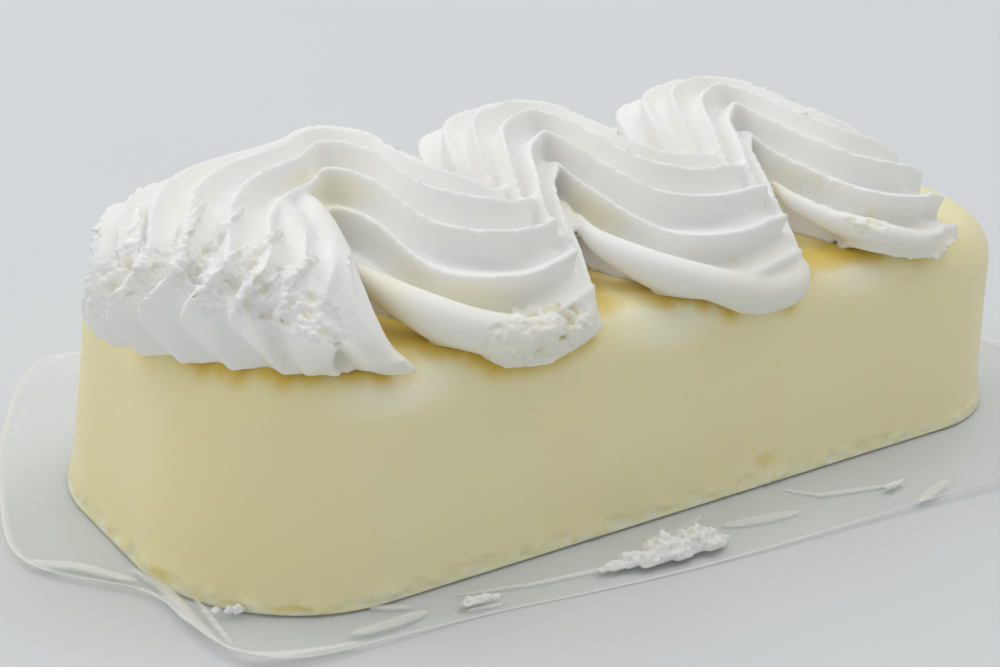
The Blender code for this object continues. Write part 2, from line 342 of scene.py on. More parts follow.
block = {
    "length": 110.0,
    "width": 46.1,
    "cornerRadius": 16.9,
    "draftDeg": 4.8,
    "topRound": 5.4,
    "footFlare": 0.5,
    "footHeight": 3.5,
    "pointsRound": 720,
    "wallRows": 84,
    "wallCrowding": 1.3,  # above 1 the rows lie closer towards the foot
    "roundRows": 26,
    "topRows": 22,
    "waviness": 0.16,
    "edgeRaggedness": 0.42,
    "footDrop": 0.32,  # the foot meets the film, closing the gap that the solids keep
    "footNoise": 1.5,
    "dips": [  # along the front's upper edge: centre, reach and depth
        ((-42.0, -20.5, 21.0), 5.5, 0.5),
        ((-22.0, -20.8, 20.2), 7.0, 0.3),
        ((6.5, -20.6, 20.4), 6.5, 0.3),
    ],
    "creamShade": 2.6,  # how far the deeper colour reaches from the cream, twice that on the flat top
    "colour": (0.89, 0.825, 0.50, 1.0),
    "deepColour": (0.86, 0.76, 0.38, 1.0),
    "paleColour": (0.93, 0.90, 0.72, 1.0),
    # painted shade: golden where the cream meets the block, lit by light bounced through the cheese
    "underCreamShadeColour": (0.74, 0.50, 0.04, 1.0),
    # painted shade of the pit and notches by the foot
    "footShadeColour": (0.78, 0.64, 0.20, 1.0),
    "smearColour": (0.90, 0.87, 0.74, 1.0),
    "darkEnd": (-34.0, -54.0),  # the deeper colour grows between these X places
    "footShadeSpots": [  # painted shade of a pit and of notches by the foot: centre, radii and strength
        ((9.6, -22.4, 2.9), (2.2, 1.8, 1.1), 0.55),
        ((-54.6, -9.6, 1.2), (1.8, 2.2, 0.8), 0.7),
        ((-47.5, -20.6, 0.9), (4.0, 2.0, 0.45), 0.7),
    ],
    "paintedEdgeHighlights": [  # painted highlights, where light catches the rounded upper edge: centre, radii and strength
        ((-36.5, -21.0, 20.4), (9.0, 4.0, 3.4), 0.6),
        ((-4.0, -20.2, 20.8), (9.0, 4.5, 3.8), 0.6),
        ((22.5, -20.5, 21.2), (7.0, 4.0, 3.4), 0.5),
    ],
    "paintedCreviceShade": [  # painted shade, golden, in the crevices on the flat top between the lobes: centre, radii and strength
        ((20.0, -17.8, 22.6), (5.5, 4.5, 1.6), 0.75),
        ((-33.5, -13.5, 22.8), (4.5, 5.0, 1.6), 0.75),
    ],
    "creamSmear": ((30.5, -24.0, 20.5), (5.0, 3.0, 1.6)),
    "moistCorner": ((-46.5, -18.0, 21.4), (9.0, 7.0, 3.4)),  # beads of moisture glint here
}


def roundedOutline(halfLength, halfWidth, radius, count):
    # evenly spaced points and outward normals of a rounded rectangle, anticlockwise
    straightX, straightY, arc = 2 * (halfLength - radius), 2 * (halfWidth - radius), 0.5 * math.pi * radius
    lengths = np.array([straightY, arc, straightX, arc] * 2)
    stops = np.concatenate([[0.0], np.cumsum(lengths)])
    along = (np.arange(count) + 0.5) / count * stops[-1]
    piece = np.clip(np.searchsorted(stops, along, side="right") - 1, 0, 7)
    part = (along - stops[piece]) / lengths[piece]
    quarter = piece // 2
    onArc = piece % 2
    angle = 0.5 * math.pi * (quarter + part * onArc)
    normal = np.stack([np.cos(angle), np.sin(angle)], axis=-1)
    signX = np.array([1, -1, -1, 1])[quarter]
    signY = np.array([1, 1, -1, -1])[quarter]
    corner = np.stack([signX * (halfLength - radius), signY * (halfWidth - radius)], axis=-1)
    back = np.array([straightY, straightX, straightY, straightX])[quarter] * (1 - part) * (1 - onArc)
    tangent = np.stack([np.sin(angle), -np.cos(angle)], axis=-1)
    return corner + normal * radius + tangent * back[:, None], normal


def blockProfile():
    # inset and height going up: flat foot, flared and drafted wall, rounded edge
    slope = math.tan(math.radians(block["draftDeg"]))
    shoulder = blockTopZ - blockBaseZ - block["topRound"]
    z = shoulder * np.linspace(0.0, 1.0, block["wallRows"]) ** block["wallCrowding"]
    rise = np.clip(z / block["footHeight"], 0.0, 1.0)
    inset = slope * z + block["footFlare"] * (1.0 - (1.0 - rise) ** 2)
    angle = np.linspace(0.0, 0.5 * math.pi, block["roundRows"] + 1)[1:]
    topInset = inset[-1] + block["topRound"] * (1.0 - np.cos(angle))
    topZ = shoulder + block["topRound"] * np.sin(angle)
    return np.concatenate([inset, topInset]), np.concatenate([z, topZ])


def blockPoints(grow=0.0):
    # rings of the outline offset inwards by the profile, closed to the middle line above and below
    half = (block["length"] / 2 + grow, block["width"] / 2 + grow)
    edge, normal = roundedOutline(*half, block["cornerRadius"] + grow, block["pointsRound"])
    inset, z = blockProfile()
    z = z + blockBaseZ
    z[0] -= grow
    z[1:] += grow
    rings = edge[None] - normal[None] * inset[:, None, None]
    rings = np.concatenate([rings, np.broadcast_to(z[:, None, None], rings.shape[:2] + (1,))], axis=-1)
    spineHalf = half[0] - half[1]
    share = np.linspace(0.0, 1.0, block["topRows"] + 1)[1:, None, None]

    def towardsMiddle(ring, share):
        middle = ring.copy()
        middle[:, 0] = np.clip(ring[:, 0], -spineHalf, spineHalf)
        middle[:, 1] = 0.0
        return ring[None] * (1 - share) + middle[None] * share

    top = towardsMiddle(rings[-1], share)
    bottom = towardsMiddle(rings[0], np.array([1.0, 0.66, 0.33, 0.1])[:, None, None])
    return np.concatenate([bottom, rings, top])


def shapeBlock(points):
    # moves away from a middle line: slow waviness, soft dips by the front edge, a ragged bottom edge
    middleHeight, middleHalf = 9.0, 36.0
    out = points.copy()
    out[..., 2] -= blockBaseZ + middleHeight
    out[..., 0] = np.sign(out[..., 0]) * np.clip(np.abs(out[..., 0]) - middleHalf, 0.0, None)
    out /= np.linalg.norm(out, axis=-1, keepdims=True) + 1e-9
    height = points[..., 2] - blockBaseZ
    wave = block["waviness"] * layeredNoise(points, 17.0, 3, 2)
    wave += 0.55 * block["waviness"] * latticeNoise(points, 6.0, 9) * smoothStep(8.0, 20.0, height)
    for centre, reach, depth in block["dips"]:
        away = np.linalg.norm(points - np.array(centre), axis=-1)
        wave -= depth * np.exp(-((away / reach) ** 2))
    nearFoot = smoothStep(1.6, 0.2, height) * smoothStep(-0.05, 0.1, height)
    ragged = layeredNoise(points, block["footNoise"], 21, 4) - 0.2
    wave += block["edgeRaggedness"] * nearFoot * ragged
    wave *= smoothStep(0.0, 0.25, height)
    shaped = points + out * wave[..., None]
    shaped[..., 2] -= block["footDrop"] * smoothStep(0.8, 0.0, height)
    return shaped


def shadeUnderCream(piece, creamPiece):
    # 1 where the cream touches the block, falling to 0 at the shade's reach: nearest distance in chunks
    hemHeight, hemStep, lowest, chunks = 1.6, 30, 9.0, 60
    points = readPoints(piece.data)
    hem = readPoints(creamPiece.data)
    hem = hem[hem[:, 2] < blockTopZ + hemHeight][::hemStep]
    nearest = np.full(len(points), 99.0)
    upper = np.flatnonzero(points[:, 2] > blockTopZ - lowest)
    for chunk in np.array_split(upper, chunks):
        apart = ((points[chunk][:, None] - hem[None]) ** 2).sum(-1)
        nearest[chunk] = np.sqrt(apart.min(axis=1))
    reach = block["creamShade"] * (1.0 + smoothStep(blockTopZ - 1.5, blockTopZ - 0.2, points[:, 2]))
    storeValue(piece.data, "underCream", smoothStep(reach, 0.3, nearest))


def cheeseFinish():
    paint = Finish("cheesecake")
    height = paint.axis("Z") / mm
    broad = paint.noise(22.0, 2.0)
    cloudy = paint.noise(6.0, 3.0)
    grain = paint.noise(0.55, 4.0, 0.62)
    speck = paint.noise(1.3, 2.0)
    blotch = paint.range(broad * 0.7 + cloudy * 0.3, 0.35, 0.65)
    colour = paint.mix(blotch * 0.3, block["colour"], block["deepColour"])
    leftEnd = paint.range(paint.axis("X") / mm, *block["darkEnd"])
    colour = paint.mix(leftEnd * 0.4, colour, block["deepColour"])
    foot = paint.range(height, 0.9, 1.9, 0.55, 0.0) * paint.range(speck, 0.4, 0.62)
    colour = paint.mix(foot, colour, block["paleColour"])
    # painted shade: darker golden spots for a pit and notches by the foot
    for centre, radii, strength in block["footShadeSpots"]:
        colour = paint.mix(paint.spot(centre, radii) * strength, colour, block["footShadeColour"])
    # painted highlight: lighter spots on the rounded upper edge
    for centre, radii, strength in block["paintedEdgeHighlights"]:
        colour = paint.mix(paint.spot(centre, radii) * strength, colour, block["paleColour"])
    # painted shade: golden next to the cream, where light bounces between cream and cheese
    colour = paint.mix(paint.stored("underCream") ** 1.4 * 0.9, colour, block["underCreamShadeColour"])
    # painted shade: golden spots in the crevices between the lobes
    for centre, radii, strength in block["paintedCreviceShade"]:
        colour = paint.mix(paint.spot(centre, radii) * strength, colour, block["underCreamShadeColour"])
    smear = paint.spot(*block["creamSmear"]) * paint.range(speck, 0.42, 0.6)
    colour = paint.mix(smear * 0.6, colour, block["smearColour"])
    moist = paint.spot(*block["moistCorner"])
    glints = paint.range(paint.noise(0.32, 1.0, 0.4), 0.66, 0.72) * moist
    relief = grain * 0.5 + cloudy * 0.6 + glints * 0.6
    bump = paint.add("ShaderNodeBump", None, {"Strength": 0.32, "Distance": 0.00012, "Height": relief})
    shader = paint.add("ShaderNodeBsdfPrincipled", None, {
        "Base Color": colour,
        "Roughness": paint.range(cloudy, 0.3, 0.7, 0.36, 0.48) - glints * 0.2,
        "Specular IOR Level": 0.45,
        "Subsurface Weight": 0.35,
        "Subsurface Radius": (1.0, 0.72, 0.32),
        "Subsurface Scale": 0.0022,
        "Coat Weight": 0.25,
        "Coat Roughness": 0.32,
        "Normal": bump,
    })
    return paint.close(shader)


def makeBlock():
    points = shapeBlock(blockPoints())
    faces = gridFaces(points.shape[0], points.shape[1])
    piece = closeMesh(meshFromFaces("cheesecakeBlock", points.reshape(-1, 3), faces))
    piece.data.materials.append(cheeseFinish())
    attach(piece, "root")
    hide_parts("cheesecake_body")
    print("stage 2: block,", len(piece.data.polygons), "faces")
    return piece


# Piped cream

cream = {
    "ridgePitchDeg": 17.5,
    "ridgeDepth": 2.6,
    "valleyRoundness": 0.8,
    "crestRounding": 0.05,
    "firstRidge": -5.3,
    "lastRidge": 4.1,
    "flatRidges": (2.6, 3.4),  # towards the front edge the valleys flatten between these
    "flatShare": 0.8,
    "halfWidth": 14.0,
    "lobes": [  # crest X, shorter by, further forward by, lower by, front teeth less low by
        (-2.5, 0.0, 0.0, 0.0, 0.0),
        (25.0, 4.0, 1.0, 1.5, 3.0),
    ],
    "top": 12.4,
    "endTop": 8.9,
    "backY": 7.6,
    "frontY": -8.4,
    "stepsPerStation": 18,
    "stepsPerRidge": 15,
    "voxel": 0.32,
    "softRounds": 8,
    "seatStep": 4,
    "tornEdge": 0.24,
    "tornRounds": 3,
    "smoothTriangles": 94000,  # kept of the smooth wave, before the torn cream is refined
    "strands": [  # down the fan's right edge: x, y, height above the block's top and radius
        [
            (-34.3, 0.8, 8.2, 0.6), (-35.2, -2.4, 8.2, 1.4), (-37.0, -8.6, 6.6, 2.1),
            (-38.9, -13.8, 4.2, 2.6), (-38.9, -17.2, 1.9, 2.3), (-37.6, -19.2, 0.3, 1.5),
            (-36.0, -20.2, -0.4, 0.8), (-34.6, -20.7, -0.9, 0.2),
        ],
        [
            (-37.4, 0.0, 8.4, 1.0), (-39.0, -5.2, 8.0, 1.8), (-41.4, -11.2, 6.2, 2.3),
            (-43.2, -15.4, 3.8, 2.5), (-43.8, -17.8, 1.8, 2.1), (-44.0, -19.2, 0.2, 1.2),
        ],
    ],
    "frontRibs": [  # along each lobe's lower front, given as the strands are
        [
            (-33.4, -5.6, 4.6, 0.3), (-33.6, -10.6, 3.8, 1.2), (-32.0, -15.4, 2.8, 1.8),
            (-29.0, -18.5, 1.3, 2.2), (-25.2, -20.2, 0.1, 2.3), (-21.0, -20.8, -0.4, 2.2),
            (-17.0, -20.4, 0.1, 1.9), (-14.8, -19.2, 1.1, 1.2),
        ],
        [
            (-5.4, -5.9, 4.6, 0.3), (-6.9, -10.4, 3.8, 1.1), (-5.6, -15.0, 2.8, 1.7),
            (-2.2, -18.4, 1.4, 2.1), (2.6, -20.3, 0.0, 2.2), (7.4, -21.0, -1.0, 2.0),
            (11.4, -20.8, -0.9, 1.8), (13.8, -19.4, 0.5, 1.2),
        ],
        [
            (21.8, -6.4, 4.6, 0.3), (20.9, -10.8, 3.8, 0.9), (22.4, -15.6, 2.8, 1.3),
            (25.6, -18.6, 1.8, 1.6), (29.6, -20.2, 0.8, 1.6), (33.2, -20.4, 0.5, 1.5),
            (35.8, -19.2, 1.4, 0.9),
        ],
    ],
    "hem": [  # x and height from the block's top of the cream's lower edge, on the plane of the front face
        (-58.0, 5.8), (-54.5, 4.1), (-51.6, 2.7), (-49.0, 1.6), (-45.9, 1.1), (-42.9, 1.0), (-38.2, 1.0),
        (-36.6, 1.4), (-35.2, 2.3), (-32.7, 1.6), (-29.4, 0.4), (-27.4, -1.2), (-25.6, -2.0), (-22.1, -2.6),
        (-17.9, -1.9), (-14.8, -0.9), (-10.4, 3.1), (-5.7, 1.7), (-1.5, 0.5), (3.4, -2.1), (7.2, -3.1),
        (11.0, -3.2), (13.7, -2.0), (16.2, 4.4), (21.7, 2.0), (25.7, 0.5), (29.7, -0.8), (32.7, -0.6),
        (34.7, 0.8),
    ],
    "hemPlane": -22.6,
    "hemDrift": (0.77, 0.53),  # each millimetre back from that plane moves the hem right and down by this
    "hemEnd": -17.0,  # further back than this it falls away quickly, by the drop
    "hemDrop": 2.0,
    "hemSoftness": 0.35,
    "tornBand": [  # places in the frame, down the middle of the torn cream
        (-56.5, -3.8, 27.4), (-54.6, -5.0, 29.2), (-52.6, -7.8, 29.8), (-50.8, -10.0, 29.6),
        (-48.6, -12.4, 29.4), (-46.2, -14.2, 28.9), (-44.2, -15.8, 27.8), (-42.4, -17.6, 26.6),
    ],
    "tears": [  # each from its peak down to the band
        ((-49.5, 3.4, 31.8), (-52.7, -1.7, 30.5), (-53.4, -4.6, 29.8)),
        ((-46.1, -1.7, 32.9), (-49.8, -5.2, 31.6), (-51.4, -7.4, 30.4)),
        ((-43.7, -4.2, 32.9), (-48.6, -7.6, 31.1), (-50.2, -9.6, 30.2)),
        ((-41.8, -8.4, 31.9), (-48.1, -11.1, 30.3)),
        ((-40.9, -12.9, 30.8), (-44.7, -13.6, 29.7), (-46.4, -14.6, 29.0)),
    ],
    "brokenEnds": [
        [(-25.3, -20.8, 22.6), (-21.6, -21.6, 23.4), (-18.2, -21.6, 23.6)],
        [(24.7, -11.6, 27.2), (24.9, -14.9, 25.8), (26.1, -17.6, 25.2)],
    ],
    "tornFaces": (-0.435, -0.826, 0.357),
    "brokenHalfWidth": 2.4,
    "holeBend": 0.7,  # how far noise pushes the holes of the broken cream out of round
    "farBreak": 0.45,  # the share of that roughness on the last lobe
    "bandHalfWidth": 2.3,
    "tearHalfWidth": 0.85,
    "unevenness": 0.09,
    "crumbly": {"large": 0.26, "small": 0.18, "fine": 0.2, "pits": 0.34, "sunk": 0.12, "tearLift": 0.42},
    "broken": {"relief": 0.4, "crumbs": 0.2, "holes": 0.6},
    "warmLightAndShadeSpots": [  # centre, radii and strength of painted light and shade: the cream lit yellow from the cheese and its own folds, and shaded along the first lobe's front rib
        ((-31.5, 2.5, 30.6), (6.5, 6.5, 3.0), 0.6),
        ((-33.0, -12.0, 25.5), (6.0, 7.0, 3.5), 0.9),
        ((-4.6, -6.0, 26.5), (3.5, 7.0, 4.0), 0.7),
        ((21.5, -6.5, 26.5), (3.5, 6.0, 4.0), 0.7),
        ((-24.6, -19.8, 22.8), (7.0, 4.0, 1.6), 0.5),
        ((-27.0, -16.5, 25.2), (8.0, 4.5, 2.2), 0.55),
    ],
    "colour": (0.92, 0.916, 0.89, 1.0),
    "shadeColour": (0.91, 0.90, 0.85, 1.0),
    "warmColour": (0.90, 0.86, 0.66, 1.0),
    # painted shade in the holes and pits of the cream
    "hollowShadeColour": (0.85, 0.79, 0.50, 1.0),
    # painted shade of the cream's lower front near the block
    "lowShadeColour": (0.82, 0.805, 0.68, 1.0),
    "yolkSpeck": ((5.2, -18.9, 2.2), (0.9, 1.2, 0.5)),  # one yellow speck, its height from the block's top
    "speckColour": (0.83, 0.74, 0.42, 1.0),
}


def station(centreX, centreY, halfWidth, top, turnDeg=0.0, floor=-4.0, roll=8.0, lean=(0.0, 0.0)):
    # one arch: centre, half width vector, leaning height vector and the angle of the middle ridge
    turn = math.radians(turnDeg)
    across = (-halfWidth * math.sin(turn), -halfWidth * math.cos(turn), 0.0)
    return [centreX, centreY, floor, *across, *lean, top - floor, roll]


def startingStations():
    # the fan at the left end, from the front corner up to the first crest and along the first lobe
    width, top, back, front = cream["halfWidth"], cream["top"], cream["backY"], cream["frontY"]
    return np.array([
        [-44.6, -10.0, -1.6, 10.6, -11.2, 0.0, -6.0, -3.9, 1.2, 4.0],
        [-46.2, -9.0, 2.8, 9.6, -9.2, 1.0, -8.0, -2.3, 1.6, 4.0],
        [-46.0, -5.5, 6.3, 9.4, -8.2, 0.9, -3.9, -4.6, 2.2, 7.0],
        [-43.0, -0.5, 6.0, 9.0, -8.5, 0.0, -3.6, -2.5, 4.9, 11.0],
        [-38.5, 3.0, 1.0, 6.5, -11.0, 0.0, -2.5, 0.0, 10.6, 11.0],
        station(-32.5, 6.4, width - 0.5, top - 0.4, 10.0, floor=-2.0, roll=11.0),
        station(-28.5, back, width, top - 0.2, 20.0, floor=-3.0, roll=11.0, lean=(1.0, 2.0)),
        station(-26.5, 3.0, width + 1.0, top - 0.2, 26.0, floor=-3.0, roll=13.0, lean=(3.0, 3.0)),
        station(-25.5, -4.0, width + 1.0, top - 0.6, 20.0, roll=20.0, lean=(3.0, 3.0)),
        station(-22.0, front - 0.4, width, top - 1.4, 6.0, roll=17.0, lean=(2.0, 2.0)),
        station(-17.5, front - 0.2, width, top - 2.6, roll=9.0),
        station(-13.5, front + 0.8, width, cream["endTop"], roll=4.0),
    ])


def lobeStations(apexX, shorter, forward, lower, tuck):
    # one wave: up and back from the last lobe's end, over the crest, forward and along
    width, top, back = cream["halfWidth"], cream["top"], cream["backY"]
    front = cream["frontY"] - forward
    endX = apexX + 16.5 - shorter
    return np.array([
        station(apexX - 12.5, -6.5, width, top - 3.6, -8.0, floor=-3.0),
        station(apexX - 11.0, -2.0, width, top - 1.0, -12.0, floor=-3.0),
        station(apexX - 8.0, 3.5, width, top + 0.4, -12.0, floor=-3.0),
        station(apexX - 3.0, back - 0.6, width, top + 0.3, floor=-3.0, roll=7.0),
        station(apexX + 1.0, back, width, top, 16.0, floor=-3.0, roll=7.0, lean=(0.0, 1.0)),
        station(apexX + 2.2, 2.5, width + 0.5, top - 0.3, 27.0, floor=-3.0, roll=12.0, lean=(2.0, 3.0)),
        station(apexX + 3.4, front + 2.8, width, top - 1.0, 18.0, roll=18.0 - tuck, lean=(2.0, 2.0)),
        station(apexX + 8.0, front, width, top - 1.8 - lower / 2, 5.0, floor=-4.5, roll=14.0 - tuck),
        station(endX - 3.5, front, width, top - 2.7 - lower / 2, floor=-4.5, roll=9.0 - tuck / 2),
        station(endX, front + 1.0, width, cream["endTop"] - lower),
    ])


def liftToHem(points):
    # along the front nothing hangs lower than the hem: soft maximum of height and hem
    soft = cream["hemSoftness"]
    hem = np.array(cream["hem"])
    back = np.clip(points[..., 1] - cream["hemPlane"], 0.0, None)
    right, down = cream["hemDrift"]
    low = np.interp(points[..., 0] - right * back, hem[:, 0], hem[:, 1], left=-99.0)
    low = low - down * back - cream["hemDrop"] * np.clip(points[..., 1] - cream["hemEnd"], 0.0, None)
    lifted = points.copy()
    lifted[..., 2] = low + soft * np.logaddexp(0.0, (points[..., 2] - low) / soft)
    return lifted


def ribbonRings(stations):
    # arch swept through the stations: centre + across sin(angle) + rise cos(angle), valleys cut inwards
    count = cream["stepsPerStation"] * (len(stations) - 1) + 1
    values = smoothRows(stations, np.linspace(0.0, len(stations) - 1.0, count))
    centre, across, rise = values[:, None, 0:3], values[:, None, 3:6], values[:, None, 6:9]
    ridgeCount = int((cream["lastRidge"] - cream["firstRidge"]) * cream["stepsPerRidge"]) + 1
    ridges = np.linspace(cream["firstRidge"], cream["lastRidge"], ridgeCount)
    angle = np.radians(values[:, 9:10] + cream["ridgePitchDeg"] * ridges[None])[..., None]
    arch = centre + across * np.sin(angle) + rise * np.cos(angle)
    normal = across / (across**2).sum(-1, keepdims=True) * np.sin(angle)
    normal = normal + rise / (rise**2).sum(-1, keepdims=True) * np.cos(angle)
    normal = normal / np.linalg.norm(normal, axis=-1, keepdims=True)
    wave = np.sin(math.pi * ridges) ** 2 + cream["crestRounding"]
    power = 0.5 * cream["valleyRoundness"]
    valley = wave**power - cream["crestRounding"] ** power
    valley = valley / valley.max() * (1.0 - cream["flatShare"] * smoothStep(*cream["flatRidges"], ridges))
    depth = cream["ridgeDepth"] * (1.0 + 0.2 * latticeNoise(arch, 7.0, 31))
    arch = arch - normal * (valley[None] * depth)[..., None]
    return liftToHem(arch) + np.array([0.0, 0.0, blockTopZ])


def liftStroke(rings):
    # the same hem for rings that already stand at the block's height
    top = np.array([0.0, 0.0, blockTopZ])
    return liftToHem(rings - top) + top


def strandRings(knots):
    # a round cord through the points, thinning to a tip
    knots = np.array(knots)
    values = smoothRows(knots, np.linspace(0.0, len(knots) - 1.0, 90))
    along = np.gradient(values[:, :3], axis=0)
    along /= np.linalg.norm(along, axis=1, keepdims=True)
    side = np.cross(along, (0.0, 0.0, 1.0))
    side /= np.linalg.norm(side, axis=1, keepdims=True)
    over = np.cross(side, along)
    angle = np.linspace(0.0, 2 * math.pi, 40, endpoint=False)[None, :, None]
    ring = side[:, None] * np.cos(angle) + over[:, None] * np.sin(angle)
    points = values[:, None, :3] + ring * np.maximum(values[:, None, 3:4], 0.15)
    return points + np.array([0.0, 0.0, blockTopZ])


def facing(points):
    # shrink distances along the direction that the torn cream faces, so a mark reaches the skin below it
    outwards = np.array(cream["tornFaces"])
    points = np.asarray(points)
    return points - 0.75 * (points @ outwards)[..., None] * outwards


def raggedMask(points, paths, halfWidth, seed, wander=0.35, pointed=False):
    # 1 within the half width of any path, with a crisp edge that noise makes wander
    away = np.full(points.shape[:-1], 9.0)
    for path in paths:
        apart, place = pathPlace(facing(points), facing(path))
        width = halfWidth * (0.45 + 0.9 * place) if pointed else halfWidth
        away = np.minimum(away, apart / width)
    ragged = away + wander * layeredNoise(points, 1.5, seed, 3)
    return smoothStep(1.0, 0.82, ragged)


def crumbs(points, cell, seed):
    # rounded lumps, one in each lattice cell: 1 at the random point, 0 at 0.7 of a cell away
    return np.clip(1.0 - pitField(points, cell, seed) / 0.7, 0.0, 1.0)


def isTorn(points):
    # the points near torn or broken cream, where the mesh is refined
    paths = [(cream["tornBand"], cream["bandHalfWidth"]), *((path, 1.3) for path in cream["tears"])]
    paths += [(path, cream["brokenHalfWidth"]) for path in cream["brokenEnds"]]
    faced = facing(points)
    return np.any([pathPlace(faced, facing(path))[0] < 1.3 * width for path, width in paths], axis=0)


def roughenCream(points, normals):
    # soft unevenness everywhere, crumbly cream where the skin tore and pitted cream where it broke off
    crumbly, broken = cream["crumbly"], cream["broken"]
    move = cream["unevenness"] * layeredNoise(points, 5.0, 41, 2)
    band = raggedMask(points, [cream["tornBand"]], cream["bandHalfWidth"], 43)
    tears = raggedMask(points, cream["tears"], cream["tearHalfWidth"], 47, 0.25, True)
    fine = layeredNoise(points, 1.1, 51, 4)
    pits = smoothStep(0.45, 0.15, pitField(points, 1.9, 61))
    lumps = crumbly["large"] * crumbs(points, 0.8, 63) + crumbly["small"] * crumbs(points, 0.42, 65)
    lumps = lumps + crumbly["fine"] * fine - crumbly["pits"] * pits
    move += np.maximum(band, tears) * (lumps - crumbly["sunk"]) + crumbly["tearLift"] * tears
    ends = raggedMask(points, cream["brokenEnds"], cream["brokenHalfWidth"], 49, 0.25)
    ends = ends * np.where(points[:, 0] < 0.0, 1.0, cream["farBreak"])
    bend = np.stack([layeredNoise(points, 1.3, seed, 2) for seed in (91, 93, 95)], axis=-1)
    holes = smoothStep(0.5, 0.2, pitField(points + cream["holeBend"] * bend, 2.3, 67))
    holes = holes * smoothStep(-0.5, 0.3, latticeNoise(points, 2.6, 97))
    relief = broken["relief"] * layeredNoise(points, 2.2, 53, 4)
    relief = relief + broken["crumbs"] * crumbs(points, 0.7, 69)
    move += ends * (relief - broken["holes"] * holes)
    # painted shade mask: 1 in the holes of the broken cream, less in the pits of the torn cream
    hollowShade = np.maximum(ends * holes, 0.4 * np.maximum(band, tears) * pits)
    return points + normals * move[:, None], hollowShade


def creamFinish(name, rough=False):
    paint = Finish(name)
    broad = paint.noise(9.0, 2.0)
    fine = paint.noise(0.5, 4.0, 0.6)
    soft = paint.noise(2.2, 3.0)
    colour = paint.mix(paint.range(broad, 0.35, 0.65) * 0.5, cream["colour"], cream["shadeColour"])
    if not rough:
        # painted shade: the cream's lower front near the block darker and warmer, shaded from the light
        # above and lit yellow from the cheese
        near = paint.range(paint.axis("Z") / mm, blockTopZ + 4.5, blockTopZ - 0.5)
        front = paint.range(paint.axis("Y") / mm, -13.0, -19.0)
        colour = paint.mix(near * front * 0.75, colour, cream["lowShadeColour"])
        # painted light and shade: warm yellow spots on the cream
        for centre, radii, strength in cream["warmLightAndShadeSpots"]:
            colour = paint.mix(paint.spot(centre, radii) * strength, colour, cream["warmColour"])
        # painted shade, yellowed, in the holes and pits
        colour = paint.mix(paint.stored("hollowShade") * 0.8, colour, cream["hollowShadeColour"])
    (speckX, speckY, speckHeight), radii = cream["yolkSpeck"]
    speck = paint.spot((speckX, speckY, blockTopZ + speckHeight), radii) * 0.7
    colour = paint.mix(speck, colour, cream["speckColour"])
    relief = fine * 0.35 + soft
    strength = 0.4 if rough else 0.22
    bump = paint.add("ShaderNodeBump", None, {"Strength": strength, "Distance": 0.00016, "Height": relief})
    shader = paint.add("ShaderNodeBsdfPrincipled", None, {
        "Base Color": colour,
        "Roughness": paint.range(soft, 0.3, 0.7, 0.42, 0.56),
        "Specular IOR Level": 0.35,
        "Subsurface Weight": 0.3,
        "Subsurface Radius": (1.0, 0.92, 0.76),
        "Subsurface Scale": 0.001,
        "Normal": bump,
    })
    return paint.close(shader)


def makeCream(seat):
    points, faces, offset = [], [], 0
    strokes = [ribbonRings(startingStations())]
    strokes += [strandRings(knots) for knots in cream["strands"]]
    strokes += [liftStroke(strandRings(knots)) for knots in cream["frontRibs"]]
    strokes += [ribbonRings(lobeStations(*lobe)) for lobe in cream["lobes"]]
    for rings in strokes:
        faces += gridFaces(*rings.shape[:2], capStart=True, capEnd=True, offset=offset)
        points.append(rings.reshape(-1, 3))
        offset += len(points[-1])
    piece = meshFromFaces("creamWave", np.vstack(points), faces)
    closeMesh(piece)
    join = piece.modifiers.new("joinStrokes", "REMESH")
    join.mode = "VOXEL"
    join.voxel_size = cream["voxel"] * mm
    soft = piece.modifiers.new("softRidges", "SMOOTH")
    soft.factor = 0.5
    soft.iterations = cream["softRounds"]
    applyModifiers(piece)
    keepLargestShell(piece)
    thinMesh(piece, cream["smoothTriangles"])
    refineWhere(piece, isTorn, cream["tornEdge"], cream["tornRounds"])
    points, hollowShade = roughenCream(readPoints(piece.data), readNormals(piece.data))
    writePoints(piece.data, points)
    storeValue(piece.data, "hollowShade", hollowShade)
    cut = piece.modifiers.new("seat", "BOOLEAN")
    cut.operation = "DIFFERENCE"
    cut.solver = "EXACT"
    cut.object = seat
    applyModifiers(piece)
    keepLargestShell(piece)
    piece.data.materials.clear()
    piece.data.materials.append(creamFinish("whippedCream"))
    piece.data.shade_smooth()
    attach(piece, "root")
    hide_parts("cream_ribbon")
    print("stage 3: cream,", len(piece.data.polygons), "faces")
    return piece


def makeSeat():
    # the block's plain form, a little smaller and with fewer points, used once to cut the cream's underside
    points = blockPoints(-sink)[:, :: cream["seatStep"]]
    faces = gridFaces(points.shape[0], points.shape[1])
    return closeMesh(meshFromFaces("creamSeat", points.reshape(-1, 3), faces))


# Cream dropped on the film

